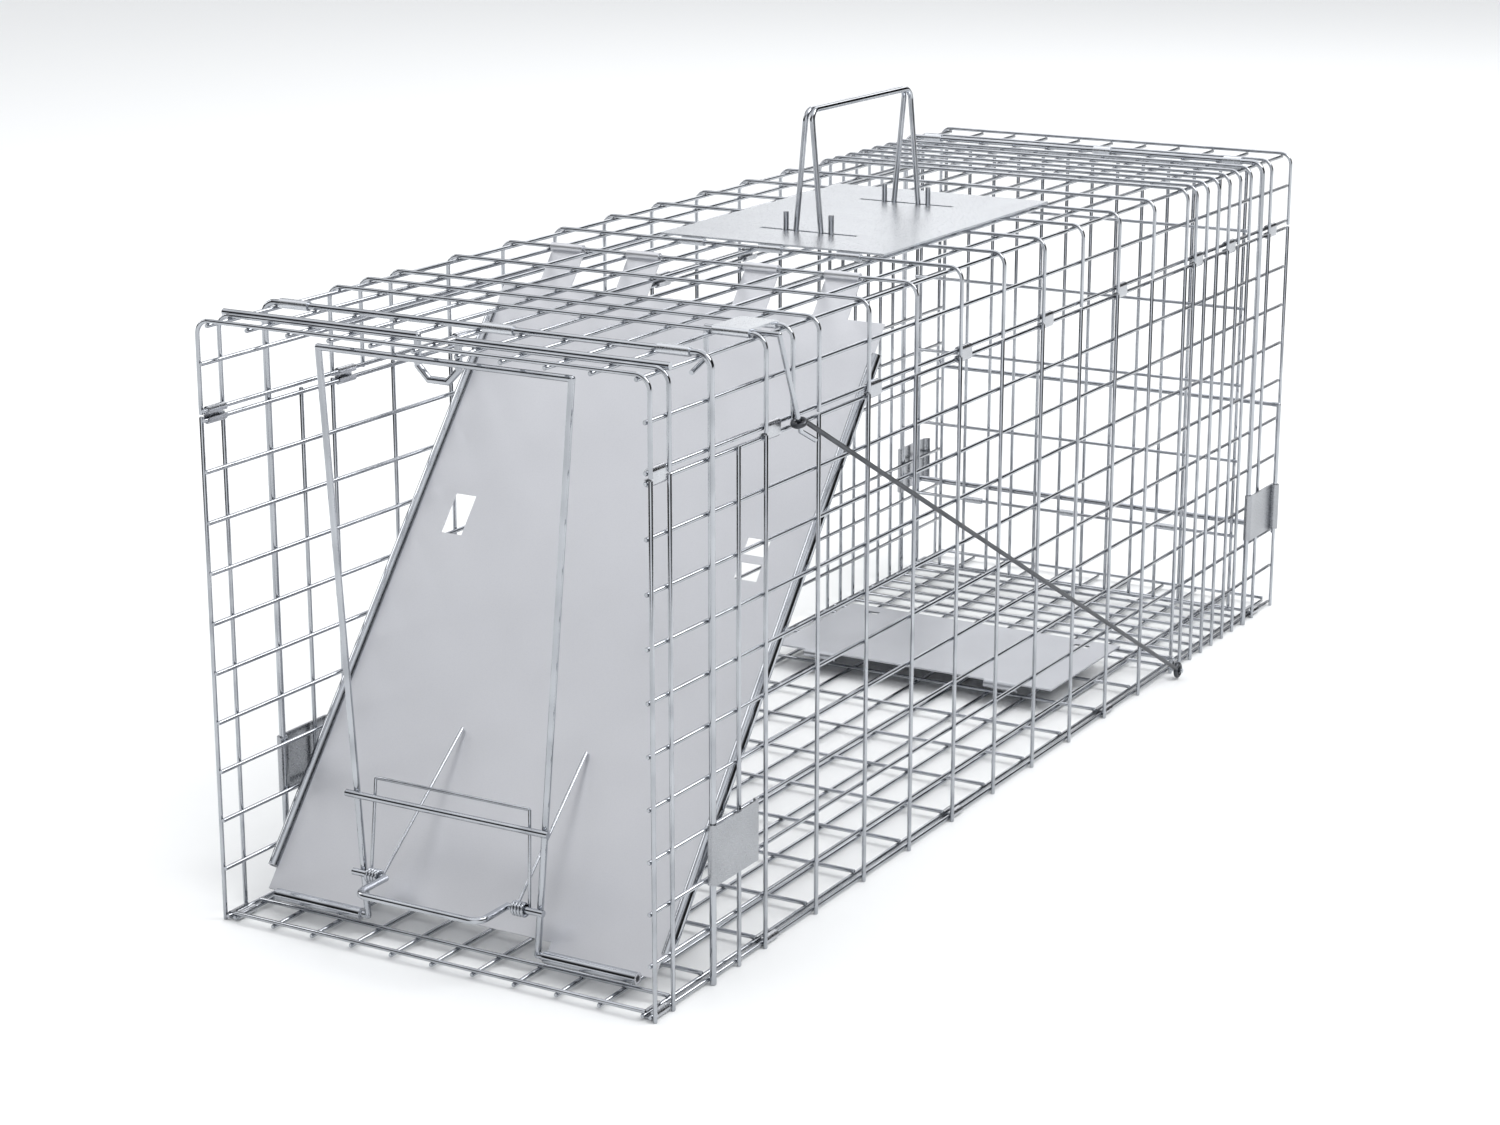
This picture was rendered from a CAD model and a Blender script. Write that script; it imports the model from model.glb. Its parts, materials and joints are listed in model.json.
"""Live catch trap: round galvanised wire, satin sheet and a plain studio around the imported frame."""

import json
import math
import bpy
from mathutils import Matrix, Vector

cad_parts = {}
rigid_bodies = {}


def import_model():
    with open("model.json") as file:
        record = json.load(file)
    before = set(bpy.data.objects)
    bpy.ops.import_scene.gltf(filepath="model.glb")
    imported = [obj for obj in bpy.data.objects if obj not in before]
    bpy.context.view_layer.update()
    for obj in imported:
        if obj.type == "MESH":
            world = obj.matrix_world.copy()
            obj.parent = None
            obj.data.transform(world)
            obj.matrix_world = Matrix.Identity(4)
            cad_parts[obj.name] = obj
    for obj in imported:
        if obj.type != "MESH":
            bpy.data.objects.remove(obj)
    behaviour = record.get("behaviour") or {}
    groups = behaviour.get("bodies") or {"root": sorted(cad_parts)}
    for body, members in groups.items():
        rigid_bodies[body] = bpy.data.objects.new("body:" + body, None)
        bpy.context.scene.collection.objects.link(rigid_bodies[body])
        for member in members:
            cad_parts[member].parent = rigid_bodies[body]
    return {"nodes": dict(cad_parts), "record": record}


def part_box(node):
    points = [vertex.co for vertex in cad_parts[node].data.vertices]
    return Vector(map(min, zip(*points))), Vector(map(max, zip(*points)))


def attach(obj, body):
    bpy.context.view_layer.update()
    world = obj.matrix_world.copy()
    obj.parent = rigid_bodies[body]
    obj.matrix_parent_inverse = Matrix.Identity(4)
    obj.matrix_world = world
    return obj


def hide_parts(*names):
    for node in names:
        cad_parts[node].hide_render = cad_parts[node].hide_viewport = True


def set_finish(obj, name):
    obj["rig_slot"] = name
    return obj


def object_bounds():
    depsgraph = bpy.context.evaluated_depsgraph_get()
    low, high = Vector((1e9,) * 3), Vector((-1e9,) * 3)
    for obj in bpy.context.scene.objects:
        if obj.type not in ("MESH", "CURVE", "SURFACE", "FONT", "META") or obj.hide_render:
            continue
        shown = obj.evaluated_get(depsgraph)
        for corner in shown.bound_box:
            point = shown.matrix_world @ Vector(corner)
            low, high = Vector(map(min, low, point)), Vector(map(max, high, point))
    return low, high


bl_info = {
    "name": "Live Catch Trap",
    "version": (1, 0, 0),
    "blender": (4, 2, 0),
    "location": "View3D > Sidebar > Catch Trap",
    "description": "Forms the wires and finishes of a live catch trap around its packed frame",
    "category": "Object",
}

import bpy
from mathutils import Vector

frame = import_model()
cad_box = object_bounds()

MM = 0.001
MICROMETRES = 1e6

# ---- where things are, in millimetres, before the part is centred ----

MOVE_X, MOVE_Y = -4.475, -388.234
HANDLE_ROD_Y, HANDLE_ROD_Z = 14.218, 35.0

# the torsion spring: its two coils, and where each wire leaves them for its prong and for the bar
COIL_X = 42.85
SPRING_BORE = 2.05
PRONG_INSET, BAR_OUTSET = 6.0, 2.0
PRONG_Y, PRONG_Z = 83.0, 91.75
SPRING_BAR_Y, SPRING_BAR_Z = 21.218, 83.0
COIL_STEPS = 16
COIL_PITCH = 1.04

# the drop door slopes down to the front from its hinge. Its rolled edges run from ROLL_START to
# ROLL_END down the slope, PANEL_DROP below the hinge's line, and its bottom curls lie at DOOR_LENGTH
HINGE_Y, HINGE_Z = 256.1, 303.9
DOOR_SLOPE = math.radians(50.844)
PANEL_DROP = 1.68
ROLL_X, ROLL_START, ROLL_END = 116.0, 42.0, 363.08
DOOR_LENGTH = 377.08
CURL_START, CURL_LENGTH = 54.0, 52.0

# ---- how round wires and tubes are drawn ----

# the most of a straight stretch that one bend may take up, so that two bends never meet
BEND_SHARE = 0.48
# a sheared tip's radius, and the longest that its chamfer may be, as shares of the wire's radius
TIP_SHARE, TIP_REACH = 0.78, 0.5
WIRE_BEVEL = 4
TUBE_SIDES = 24
SMOOTH_ANGLE = math.radians(40)

# a folded roof wire is wider than this, in metres, and this many times deeper than it is thick
FOLDED_WIDTH, FOLDED_DEPTH = 0.15, 2.5

# the mesh sheets, each with the body that carries it
MESH_SHEETS = {
    "roof_mesh": "cage",
    "left_side_mesh": "cage",
    "right_side_mesh": "cage",
    "floor_mesh": "cage",
    "rear_gate_mesh": "rear_gate",
}

# ---- the studio ----

FLOOR_SPAN = 60
TOOTH_SCALE = 220.0

# white cards stand before and behind the trap, square to the camera's line, with dark walls beside it
CARD_TURN = 0.52
CARD_EDGE = (0.5, 0.85)
CARD_MEETING = 0.2
FRONT_CARD, BACK_CARD, SIDE_WALL = 1.3, 0.72, 0.02
CEILING = 1.4
CEILING_EDGE = (0.45, 0.85)

# each light's name, place, aim, size and power, in metres and watts
LAMPS = (
    ("key", (1.9, 0.5, 2.6), (0, 0, 0.1), 1.8, 52),
    ("fill", (-2.4, -0.4, 1.3), (0, 0, 0.15), 1.2, 12),
    ("back", (-0.8, 3.0, 2.4), (0, 0.1, 0.1), 2.2, 24),
)

# the camera stands to the right of the trap's front and looks down along it
CAMERA_PLACE = (0.8138, -1.4987, 0.5855)
CAMERA_DIP, CAMERA_TURN = 0.27237, 0.52382
CAMERA_LENS, SENSOR_WIDTH = 74.02, 36.0
CAMERA_REACH = 200


# ---- settings ----


def linear(hex_colour):
    """An sRGB hex colour as a linear RGBA tuple."""
    parts = [int(hex_colour[i : i + 2], 16) / 255 for i in (1, 3, 5)]
    return tuple(
        c / 12.92 if c <= 0.04045 else ((c + 0.055) / 1.055) ** 2.4 for c in parts
    ) + (1.0,)


def tone(name, description, hex_colour):
    """A colour setting whose default is an sRGB hex."""
    return bpy.props.FloatVectorProperty(
        name=name,
        description=description,
        default=linear(hex_colour),
        size=4,
        min=0.0,
        max=1.0,
        subtype="COLOR",
    )


class CatchTrapSizes(bpy.types.PropertyGroup):
    end_chamfer: bpy.props.FloatProperty(
        name="End chamfer",
        description="Length of the narrowed tip that the shears leave on a cut wire",
        default=0.0004,
        min=0.0,
        unit="LENGTH",
    )
    hoop_bend: bpy.props.FloatProperty(
        name="Hoop bend",
        description="Centre-line radius of the hoops' corners",
        default=0.007,
        min=0.003,
        unit="LENGTH",
    )
    bend_steps: bpy.props.IntProperty(
        name="Bend steps",
        description="Straight steps in a quarter bend",
        default=8,
        min=3,
        max=24,
    )
    door_roll: bpy.props.FloatProperty(
        name="Door roll",
        description="Outer radius of the door's rolled side edges",
        default=0.00302,
        min=0.001,
        unit="LENGTH",
    )
    door_curl: bpy.props.FloatProperty(
        name="Door curl",
        description="Outer radius of the door's bottom curls",
        default=0.00295,
        min=0.001,
        unit="LENGTH",
    )
    skin: bpy.props.FloatProperty(
        name="Skin",
        description="Thickness of the zinc skin on the door's tubes",
        default=0.00006,
        min=0.00001,
        unit="LENGTH",
    )
    spring_wire: bpy.props.FloatProperty(
        name="Spring wire",
        description="Diameter of the torsion spring's wire",
        default=0.0017,
        min=0.0005,
        unit="LENGTH",
    )
    spring_turns: bpy.props.IntProperty(
        name="Spring turns",
        description="Turns in each coil of the torsion spring",
        default=4,
        min=2,
        max=9,
    )


class CatchTrapColours(bpy.types.PropertyGroup):
    wire: tone("Wire", "Fresh zinc on the wires and rods", "#babdc2")
    wire_dull: tone("Dull wire", "Weathered zinc on the wires and rods", "#85888e")
    sheet: tone("Sheet", "Satin zinc on the door", "#dbdce0")
    sheet_dull: tone("Dull sheet", "Second tone of the door's spangle", "#d3d4d8")
    pan: tone("Pan", "Satin zinc on the pan", "#c3c5ca")
    pan_dull: tone("Dull pan", "Second tone of the pan's spangle", "#babcc1")
    plate: tone("Handle plate", "Bright zinc on the handle plate", "#d3d6da")
    plate_dull: tone("Dull handle plate", "Second tone of the handle plate's spangle", "#caccd1")
    bracket: tone("Brackets", "Grey zinc on the brackets", "#a9abaf")
    bracket_dull: tone("Dull brackets", "Second tone of the brackets' spangle", "#95979b")
    clip: tone("Clips", "Crimped steel of the clips", "#c2c4c8")
    clip_dull: tone("Dull clips", "Scuffed steel of the clips", "#9fa1a5")
    dark_rod: tone("Trigger rod", "Drawn steel of the trigger rod", "#55575b")
    dark_rod_dull: tone("Dull trigger rod", "Darker skin on the trigger rod", "#34363a")
    floor: tone("Floor", "Studio floor", "#f6f7f7")
    sky: tone("Studio cards", "Light that the cards and the ceiling throw", "#f7f8fa")
    backdrop: tone("Backdrop", "Plain pale backdrop", "#f4f5f5")


def sizes():
    return bpy.context.scene.catch_trap_sizes


def colours():
    return bpy.context.scene.catch_trap_colours


# ---- common steps ----


def clear_selection():
    for obj in bpy.context.selected_objects:
        obj.select_set(False)
    bpy.context.view_layer.objects.active = None


def at(x, y, z):
    """A place given in the part's millimetres, in the row frame's metres."""
    return Vector((x + MOVE_X, y + MOVE_Y, z)) * MM


def rounded(points, corner, steps):
    """The points of a wire with each inner corner bent to a round of the given radius."""
    if corner <= 0 or len(points) < 3:
        return list(points)
    path = [points[0]]
    for before, here, after in zip(points, points[1:], points[2:]):
        back, ahead = (before - here).normalized(), (after - here).normalized()
        opening = back.angle(ahead)
        reach = min(
            corner / math.tan(opening / 2),
            (before - here).length * BEND_SHARE,
            (after - here).length * BEND_SHARE,
        )
        start, end = here + back * reach, here + ahead * reach
        centre = here + (back + ahead).normalized() * (reach / math.cos(opening / 2))
        arm_start, arm_end = start - centre, end - centre
        turn = arm_start.angle(arm_end)
        for i in range(steps + 1):
            share = i / steps
            path.append(
                centre
                + arm_start * (math.sin((1 - share) * turn) / math.sin(turn))
                + arm_end * (math.sin(share * turn) / math.sin(turn))
            )
    path.append(points[-1])
    return path


def formed(piece):
    """The piece itself, which has to have faces by now."""
    if not piece.data.polygons:
        raise RuntimeError(f"{piece.name} came out without faces")
    return piece


def form_wires(name, runs, slot, body):
    """One mesh piece of round wires. Each run is (points, radius), with sheared, narrowed tips."""
    clear_selection()
    curve = bpy.data.curves.new(name, "CURVE")
    curve.dimensions = "3D"
    curve.twist_mode = "MINIMUM"
    curve.bevel_depth = 1.0
    curve.bevel_resolution = WIRE_BEVEL
    curve.use_fill_caps = True
    for points, radius in runs:
        tip = min(sizes().end_chamfer, radius * TIP_REACH)
        first = (points[1] - points[0]).normalized() * tip
        last = (points[-2] - points[-1]).normalized() * tip
        line = [points[0], points[0] + first, *points[1:-1], points[-1] + last, points[-1]]
        spline = curve.splines.new("POLY")
        spline.points.add(len(line) - 1)
        for i, (target, place) in enumerate(zip(spline.points, line)):
            target.co = (*place, 1.0)
            target.radius = radius * (TIP_SHARE if i in (0, len(line) - 1) else 1.0)
    piece = bpy.data.objects.new(name, curve)
    bpy.context.scene.collection.objects.link(piece)
    piece.select_set(True)
    bpy.context.view_layer.objects.active = piece
    bpy.ops.object.convert(target="MESH")
    piece = formed(bpy.context.view_layer.objects.active)
    bpy.ops.object.mode_set(mode="EDIT")
    bpy.ops.mesh.select_all(action="SELECT")
    bpy.ops.mesh.normals_make_consistent(inside=False)
    bpy.ops.object.mode_set(mode="OBJECT")
    bpy.ops.object.shade_smooth_by_angle(angle=SMOOTH_ANGLE)
    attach(piece, body)
    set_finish(piece, slot)
    return piece


def on_door(x, down, below):
    """A place on the door: down its slope from the hinge and square below it, in millimetres."""
    y = HINGE_Y - down * math.cos(DOOR_SLOPE) + below * math.sin(DOOR_SLOPE)
    z = HINGE_Z - down * math.sin(DOOR_SLOPE) - below * math.cos(DOOR_SLOPE)
    return at(x, y, z)


def form_tube(name, line, radius, slot, body):
    """A rolled edge: a thin open-ended tube that wraps the door's own roll."""
    clear_selection()
    start, end = line
    along = end - start
    bpy.ops.mesh.primitive_cylinder_add(
        vertices=TUBE_SIDES,
        radius=radius,
        depth=along.length,
        end_fill_type="NOTHING",
        location=(start + end) / 2,
        rotation=along.to_track_quat("Z", "Y").to_euler(),
    )
    piece = formed(bpy.context.active_object)
    piece.name = name
    wall = piece.modifiers.new("wall", "SOLIDIFY")
    wall.thickness = sizes().skin
    wall.offset = 1.0
    bpy.ops.object.modifier_apply(modifier="wall")
    bpy.ops.object.transform_apply(location=True, rotation=True, scale=True)
    bpy.ops.object.shade_smooth_by_angle(angle=SMOOTH_ANGLE)
    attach(piece, body)
    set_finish(piece, slot)
    return piece


def loose_boxes(node):
    """The (low, high) corners of each loose solid of a CAD node."""
    mesh = frame["nodes"][node].data
    group = {}

    def top(key):
        while group[key] != key:
            group[key] = group[group[key]]
            key = group[key]
        return key

    # corners that agree to the micrometre are the same corner
    keys = [tuple(round(c * MICROMETRES) for c in v.co) for v in mesh.vertices]
    for key in keys:
        group.setdefault(key, key)
    for polygon in mesh.polygons:
        first = top(keys[polygon.vertices[0]])
        for index in polygon.vertices[1:]:
            group[top(keys[index])] = first
    boxes = {}
    for vertex, key in zip(mesh.vertices, keys):
        low, high = boxes.setdefault(top(key), (Vector(vertex.co), Vector(vertex.co)))
        for axis in range(3):
            low[axis] = min(low[axis], vertex.co[axis])
            high[axis] = max(high[axis], vertex.co[axis])
    return list(boxes.values())


def straight_run(low, high):
    """The centre line and radius of a straight wire that fills a box."""
    size = high - low
    axis = max(range(3), key=lambda i: size[i])
    radius = min(size[i] for i in range(3) if i != axis) / 2
    start = (low + high) / 2
    end = start.copy()
    start[axis], end[axis] = low[axis], high[axis]
    return [start, end], radius


def bow_corners(low, high, foot):
    """The corners of a wire that goes up one side, over the top and down the other."""
    radius = (high.y - low.y) / 2
    y = (low.y + high.y) / 2
    left, right, top = low.x + radius, high.x - radius, high.z - radius
    return [
        Vector((left, y, foot)),
        Vector((left, y, top)),
        Vector((right, y, top)),
        Vector((right, y, foot)),
    ]


# ---- materials ----


def add(tree, kind, inputs=None, **settings):
    """Adds one node with its settings, and sets or links its inputs."""
    node = tree.nodes.new(kind)
    for key, value in settings.items():
        setattr(node, key, value)
    for socket, value in (inputs or {}).items():
        if isinstance(value, bpy.types.NodeSocket):
            tree.links.new(value, node.inputs[socket])
        else:
            node.inputs[socket].default_value = value
    return node


def new_material(name):
    material = bpy.data.materials.new(name)
    material.use_nodes = True
    material.node_tree.nodes.clear()
    return material


def zinc(name, bright, dull, spangle_mm, grain_mm, rough, bump_mm):
    """Zinc on steel: spangle cells of two tones, a patchy dull bloom, and a fine grain."""
    material = new_material(name)
    tree = material.node_tree
    place = add(tree, "ShaderNodeTexCoord").outputs["Object"]
    spangle = add(
        tree,
        "ShaderNodeTexVoronoi",
        {"Vector": place, "Scale": 1000 / spangle_mm, "Smoothness": 0.9},
        feature="SMOOTH_F1",
    )
    tone = add(tree, "ShaderNodeSeparateColor", {"Color": spangle.outputs["Color"]})
    bloom = add(
        tree,
        "ShaderNodeTexNoise",
        {"Vector": place, "Scale": 1000 / (spangle_mm * 6), "Detail": 4.0, "Roughness": 0.6},
    )
    grain = add(
        tree, "ShaderNodeTexNoise", {"Vector": place, "Scale": 1000 / grain_mm, "Detail": 3.0}
    )
    shade = add(
        tree,
        "ShaderNodeMath",
        {0: tone.outputs["Red"], 1: bloom.outputs[0]},
        operation="MULTIPLY",
    )
    colour = add(
        tree,
        "ShaderNodeMix",
        {"Factor": shade.outputs[0], 6: bright, 7: dull},
        data_type="RGBA",
    )
    polish = add(
        tree,
        "ShaderNodeMapRange",
        {"Value": grain.outputs[0], 1: 0.3, 2: 0.7, 3: rough * 0.8, 4: rough * 1.25},
    )
    relief = add(
        tree,
        "ShaderNodeBump",
        {"Height": grain.outputs[0], "Strength": 0.35, "Distance": bump_mm * MM},
    )
    shader = add(
        tree,
        "ShaderNodeBsdfPrincipled",
        {
            "Base Color": colour.outputs[2],
            "Metallic": 1.0,
            "Roughness": polish.outputs[0],
            "Normal": relief.outputs[0],
        },
    )
    add(tree, "ShaderNodeOutputMaterial", {"Surface": shader.outputs[0]})
    return material


def make_finishes():
    """The material for each of the record's slots."""
    tint = colours()
    return {
        # hot dipped wire: near white zinc with sharp dark and light streaks of reflection
        "mesh_wire": zinc("hot_dipped_wire", tint.wire, tint.wire_dull, 9, 1.2, 0.11, 0.01),
        # heavier dipped rod, a little smoother than the mesh
        "rod": zinc("hot_dipped_rod", tint.wire, tint.wire_dull, 12, 1.5, 0.1, 0.008),
        # drawn steel rod with a thin dark skin
        "dark_rod": zinc(
            "drawn_steel_rod", tint.dark_rod, tint.dark_rod_dull, 8, 1.0, 0.34, 0.04
        ),
        # plated spring wire, bright and even
        "spring_wire": zinc("plated_spring_wire", tint.wire, tint.wire_dull, 9, 0.8, 0.14, 0.008),
        # bright galvanised sheet, pressed and lightly brushed by handling
        "bright_sheet": zinc(
            "bright_galvanised_sheet", tint.plate, tint.plate_dull, 14, 0.8, 0.3, 0.01
        ),
        # satin galvanised sheet: soft, broad highlights and faint spangle
        "satin_sheet": zinc(
            "satin_galvanised_sheet", tint.sheet, tint.sheet_dull, 26, 0.7, 0.42, 0.008
        ),
        # the pan lies flat and faces the ceiling, so its satin zinc is a shade deeper
        "pan_sheet": zinc("satin_pan_sheet", tint.pan, tint.pan_dull, 26, 0.7, 0.36, 0.008),
        # cut and curled bracket sheet, greyer at its worked faces
        "bracket_sheet": zinc(
            "curled_galvanised_sheet", tint.bracket, tint.bracket_dull, 16, 0.8, 0.28, 0.01
        ),
        # crimped clip steel, scuffed by the pliers
        "clip_steel": zinc("crimped_clip_steel", tint.clip, tint.clip_dull, 8, 0.7, 0.26, 0.015),
    }


# ---- the studio's floor, light and camera ----


def studio_paper():
    """Matt white paper with a faint tooth."""
    material = new_material("studio_paper")
    tree = material.node_tree
    place = add(tree, "ShaderNodeTexCoord").outputs["Object"]
    tooth = add(tree, "ShaderNodeTexNoise", {"Vector": place, "Scale": TOOTH_SCALE, "Detail": 2.0})
    relief = add(
        tree,
        "ShaderNodeBump",
        {"Height": tooth.outputs[0], "Strength": 0.05, "Distance": 0.5 * MM},
    )
    shader = add(
        tree,
        "ShaderNodeBsdfPrincipled",
        {"Base Color": colours().floor, "Roughness": 0.7, "Normal": relief.outputs[0]},
    )
    add(tree, "ShaderNodeOutputMaterial", {"Surface": shader.outputs[0]})
    return material


def lay_floor():
    clear_selection()
    bpy.ops.mesh.primitive_plane_add(size=FLOOR_SPAN, location=(0, 0, cad_box[0][2]))
    floor = formed(bpy.context.active_object)
    floor.name = "studio_floor"
    floor.data.materials.append(studio_paper())


def studio_world():
    """Cards and a ceiling that the metal reflects, behind a plain pale backdrop."""
    world = bpy.data.worlds.new("studio")
    world.use_nodes = True
    world.node_tree.nodes.clear()
    tree = world.node_tree
    direction = add(tree, "ShaderNodeTexCoord").outputs["Generated"]
    turned = add(
        tree, "ShaderNodeMapping", {"Vector": direction, "Rotation": (0.0, 0.0, -CARD_TURN)}
    )
    axes = add(tree, "ShaderNodeSeparateXYZ", {"Vector": turned.outputs[0]})
    # how squarely a direction meets a card: 1 straight ahead or behind, 0 at the side walls
    squareness = add(
        tree, "ShaderNodeMath", {0: axes.outputs["Y"], 1: axes.outputs["Y"]}, operation="MULTIPLY"
    )
    wall = add(
        tree,
        "ShaderNodeMapRange",
        {"Value": squareness.outputs[0], 1: CARD_EDGE[0], 2: CARD_EDGE[1], 3: SIDE_WALL, 4: 1.0},
        interpolation_type="SMOOTHSTEP",
    )
    front_to_back = add(
        tree,
        "ShaderNodeMapRange",
        {"Value": axes.outputs["Y"], 1: -CARD_MEETING, 2: CARD_MEETING, 3: FRONT_CARD, 4: BACK_CARD},
    )
    cards = add(
        tree,
        "ShaderNodeMath",
        {0: wall.outputs[0], 1: front_to_back.outputs[0]},
        operation="MULTIPLY",
    )
    overhead = add(
        tree,
        "ShaderNodeMapRange",
        {"Value": axes.outputs["Z"], 1: CEILING_EDGE[0], 2: CEILING_EDGE[1]},
        interpolation_type="SMOOTHSTEP",
    )
    glow = add(
        tree,
        "ShaderNodeMix",
        {0: overhead.outputs[0], 2: cards.outputs[0], 3: CEILING},
        data_type="FLOAT",
    )
    sky = add(
        tree, "ShaderNodeBackground", {"Color": colours().sky, "Strength": glow.outputs[0]}
    )
    # the backdrop itself is plain and pale: the dark walls only show in the metal
    backdrop = add(tree, "ShaderNodeBackground", {"Color": colours().backdrop, "Strength": 1.0})
    ray = add(tree, "ShaderNodeLightPath")
    seen = add(
        tree,
        "ShaderNodeMixShader",
        {0: ray.outputs["Is Camera Ray"], 1: sky.outputs[0], 2: backdrop.outputs[0]},
    )
    add(tree, "ShaderNodeOutputWorld", {"Surface": seen.outputs[0]})
    return world


def hang_lamps(scene):
    for name, place, aim, size, power in LAMPS:
        lamp = bpy.data.lights.new(name, "AREA")
        lamp.size = size
        lamp.energy = power
        light = bpy.data.objects.new(name, lamp)
        scene.collection.objects.link(light)
        light.location = place
        light.rotation_euler = (Vector(aim) - Vector(place)).to_track_quat("-Z", "Y").to_euler()


def place_camera(scene):
    lens = bpy.data.cameras.new("camera")
    lens.sensor_width = SENSOR_WIDTH
    lens.lens = CAMERA_LENS
    lens.clip_end = CAMERA_REACH
    camera = bpy.data.objects.new("camera", lens)
    scene.collection.objects.link(camera)
    camera.location = CAMERA_PLACE
    camera.rotation_euler = (math.pi / 2 - CAMERA_DIP, 0.0, CAMERA_TURN)
    scene.camera = camera


# ---- operators ----


class CATCHTRAP_OT_mesh_sheets(bpy.types.Operator):
    """Forms every round wire of the cage and the rear gate"""

    bl_idname = "catchtrap.mesh_sheets"
    bl_label = "Mesh Sheets"

    def execute(self, context):
        steps = sizes().bend_steps
        for node, body in MESH_SHEETS.items():
            boxes = loose_boxes(node)
            if not boxes:
                raise RuntimeError(f"{node} has no wires")
            folded, legs, runs = [], [], []
            for low, high in boxes:
                size = high - low
                if size.x > FOLDED_WIDTH and size.z > FOLDED_DEPTH * size.y:
                    folded.append((low, high))
                elif size.z > max(size.x, size.y) and node == "roof_mesh":
                    legs.append((low, high))
                else:
                    runs.append(straight_run(low, high))
            for low, high in folded:
                radius = (high.y - low.y) / 2
                bend = high.z - low.z - radius
                y = (low.y + high.y) / 2
                foot = min(a.z for a, b in legs if abs((a.y + b.y) / 2 - y) < radius)
                runs.append((rounded(bow_corners(low, high, foot), bend, steps), radius))
            piece = form_wires(node.replace("mesh", "wires"), runs, "mesh_wire", body)
            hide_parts(node)
        return {"FINISHED"}


class CATCHTRAP_OT_hoops(bpy.types.Operator):
    """Bends the two thick hoops that stiffen the cage's ends"""

    bl_idname = "catchtrap.hoops"
    bl_label = "Hoops"

    def execute(self, context):
        for node in ("front_hoop", "rear_hoop"):
            low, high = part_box(node)
            corners = bow_corners(low, high, low.z)
            bent = rounded(corners, sizes().hoop_bend, sizes().bend_steps)
            piece = form_wires(node + "_wire", [(bent, (high.y - low.y) / 2)], "rod", "cage")
            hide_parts(node)
        return {"FINISHED"}


class CATCHTRAP_OT_spring(bpy.types.Operator):
    """Winds the double torsion spring round the bail's handle rod"""

    bl_idname = "catchtrap.spring"
    bl_label = "Torsion Spring"

    def execute(self, context):
        wire = sizes().spring_wire
        coil_radius = SPRING_BORE * MM + wire / 2
        turns = sizes().spring_turns
        half = turns * wire * COIL_PITCH / 2
        count = COIL_STEPS * turns
        runs = []
        for side in (-1, 1):
            centre = at(side * COIL_X, HANDLE_ROD_Y, HANDLE_ROD_Z)
            inner = centre.x - side * half
            outer = centre.x + side * half
            coil = []
            for i in range(count + 1):
                angle = 2 * math.pi * i / COIL_STEPS
                coil.append(
                    Vector(
                        (
                            inner + (outer - inner) * i / count,
                            centre.y + coil_radius * math.cos(angle),
                            centre.z + coil_radius * math.sin(angle),
                        )
                    )
                )
            prong = at(side * (COIL_X - PRONG_INSET), PRONG_Y, PRONG_Z)
            bar = at(side * (COIL_X + BAR_OUTSET), SPRING_BAR_Y, SPRING_BAR_Z)
            runs.append(([prong, *coil, bar], wire / 2))
        ends = [runs[0][0][-1], runs[1][0][-1]]
        runs.append((ends, wire / 2))
        piece = form_wires("torsion_spring", runs, "spring_wire", "lock_bail")
        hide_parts("bail_spring")
        return {"FINISHED"}


class CATCHTRAP_OT_door_tubes(bpy.types.Operator):
    """Rolls the bright tubes along the door's side edges and its bottom curls"""

    bl_idname = "catchtrap.door_tubes"
    bl_label = "Door Tubes"

    def execute(self, context):
        roll, curl = sizes().door_roll, sizes().door_curl
        for side, name in ((-1, "left"), (1, "right")):
            edge = [on_door(side * ROLL_X, u, PANEL_DROP) for u in (ROLL_START, ROLL_END)]
            form_tube(f"door_roll_{name}", edge, roll, "rod", "door")
            ends = (side * CURL_START, side * (CURL_START + CURL_LENGTH))
            foot = [on_door(x, DOOR_LENGTH, 0.0) for x in ends]
            form_tube(f"door_curl_{name}", foot, curl, "rod", "door")
        return {"FINISHED"}


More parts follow.
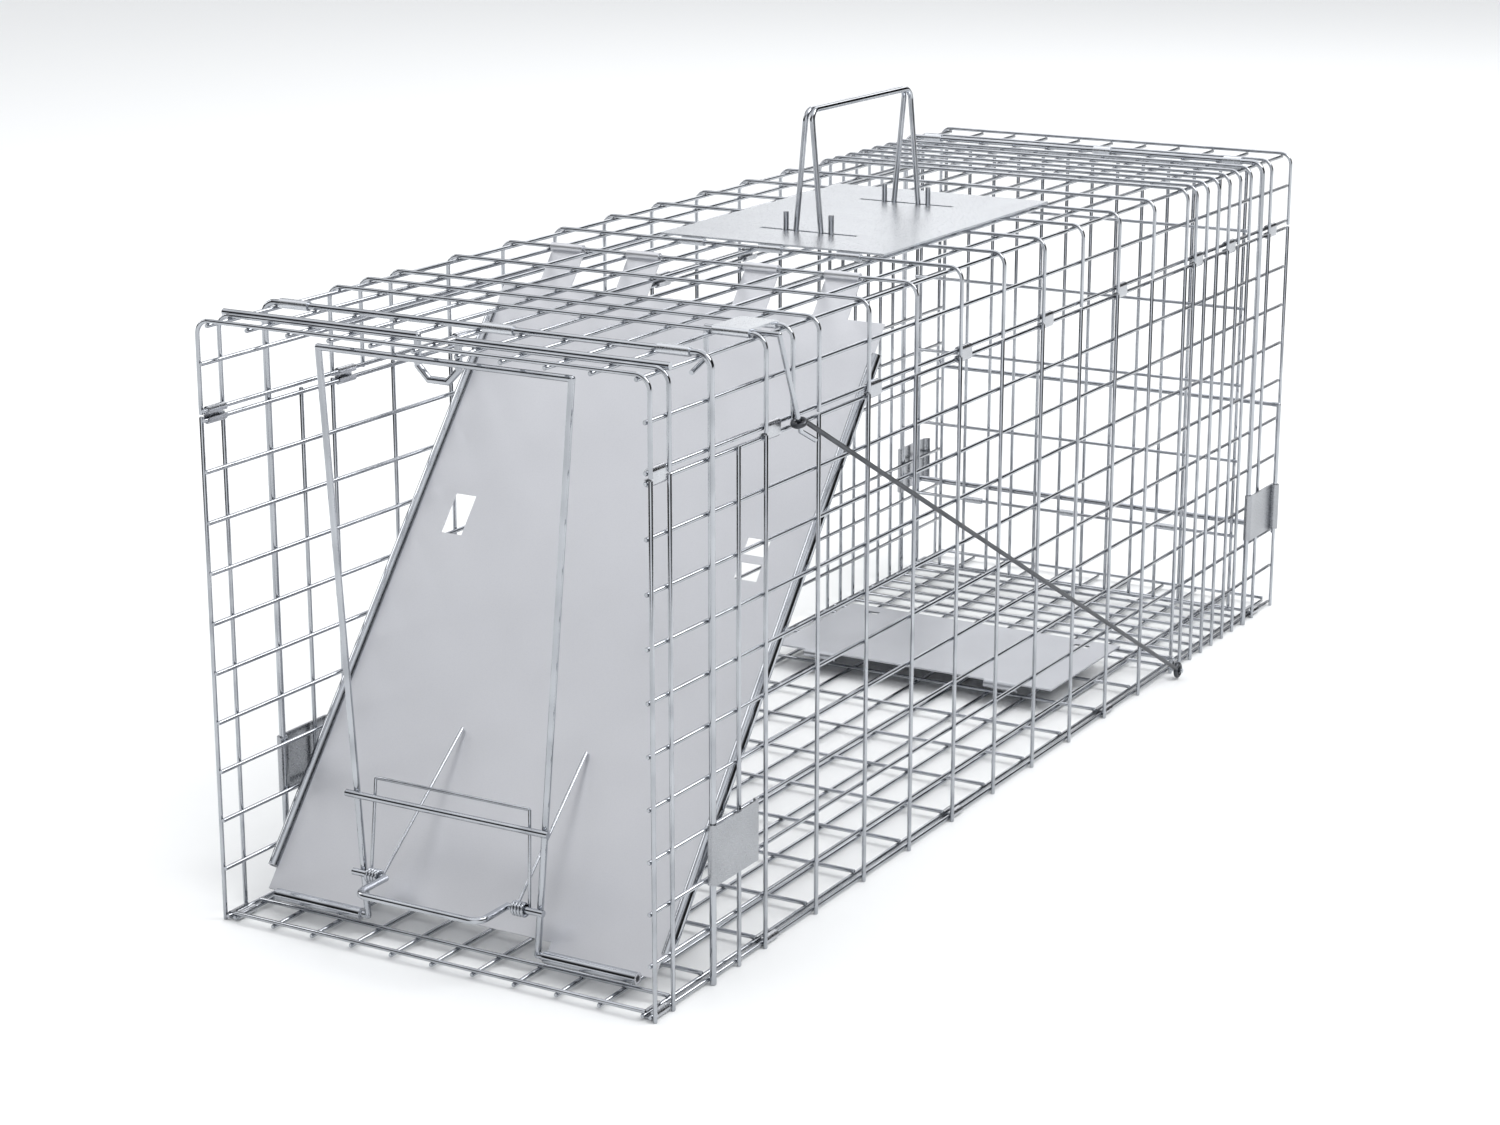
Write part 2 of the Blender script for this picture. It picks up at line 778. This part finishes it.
class CATCHTRAP_OT_finishes(bpy.types.Operator):
    """Gives every piece and every frame node its material"""

    bl_idname = "catchtrap.finishes"
    bl_label = "Finishes"

    def execute(self, context):
        finishes = make_finishes()
        slots = {}
        for entry in frame["record"]["subparts"]:
            slots[entry["node"]] = entry["material_slot"]
        slots["pan_plate"] = "pan_sheet"
        for obj in bpy.data.objects:
            if obj.type != "MESH":
                continue
            slot = obj.get("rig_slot") or slots.get(obj.name)
            if slot not in finishes:
                raise RuntimeError(f"{obj.name} has no finish: its slot is {slot!r}")
            obj.data.materials.clear()
            obj.data.materials.append(finishes[slot])
        return {"FINISHED"}


class CATCHTRAP_OT_stage(bpy.types.Operator):
    """Lays the floor, and sets the camera and the soft studio light"""

    bl_idname = "catchtrap.stage"
    bl_label = "Stage"

    def execute(self, context):
        lay_floor()
        context.scene.world = studio_world()
        context.scene.view_settings.view_transform = "Standard"
        hang_lamps(context.scene)
        place_camera(context.scene)
        return {"FINISHED"}


class CATCHTRAP_PT_panel(bpy.types.Panel):
    """The trap's sizes, colours and pieces"""

    bl_label = "Catch Trap"
    bl_idname = "CATCHTRAP_PT_panel"
    bl_space_type = "VIEW_3D"
    bl_region_type = "UI"
    bl_category = "Catch Trap"

    def draw(self, context):
        layout = self.layout
        for group in (context.scene.catch_trap_sizes, context.scene.catch_trap_colours):
            for key in group.__annotations__:
                layout.prop(group, key)
        for operator in OPERATORS:
            layout.operator(operator.bl_idname)


OPERATORS = (
    CATCHTRAP_OT_mesh_sheets,
    CATCHTRAP_OT_hoops,
    CATCHTRAP_OT_spring,
    CATCHTRAP_OT_door_tubes,
    CATCHTRAP_OT_finishes,
    CATCHTRAP_OT_stage,
)
CLASSES = (CatchTrapSizes, CatchTrapColours, *OPERATORS, CATCHTRAP_PT_panel)


def register():
    for cls in CLASSES:
        bpy.utils.register_class(cls)
    bpy.types.Scene.catch_trap_sizes = bpy.props.PointerProperty(type=CatchTrapSizes)
    bpy.types.Scene.catch_trap_colours = bpy.props.PointerProperty(type=CatchTrapColours)


def unregister():
    del bpy.types.Scene.catch_trap_colours
    del bpy.types.Scene.catch_trap_sizes
    for cls in reversed(CLASSES):
        bpy.utils.unregister_class(cls)


def main():
    register()
    bpy.ops.catchtrap.mesh_sheets()
    bpy.ops.catchtrap.hoops()
    bpy.ops.catchtrap.spring()
    bpy.ops.catchtrap.door_tubes()
    bpy.ops.catchtrap.finishes()
    bpy.ops.catchtrap.stage()


if __name__ == "__main__":
    main()
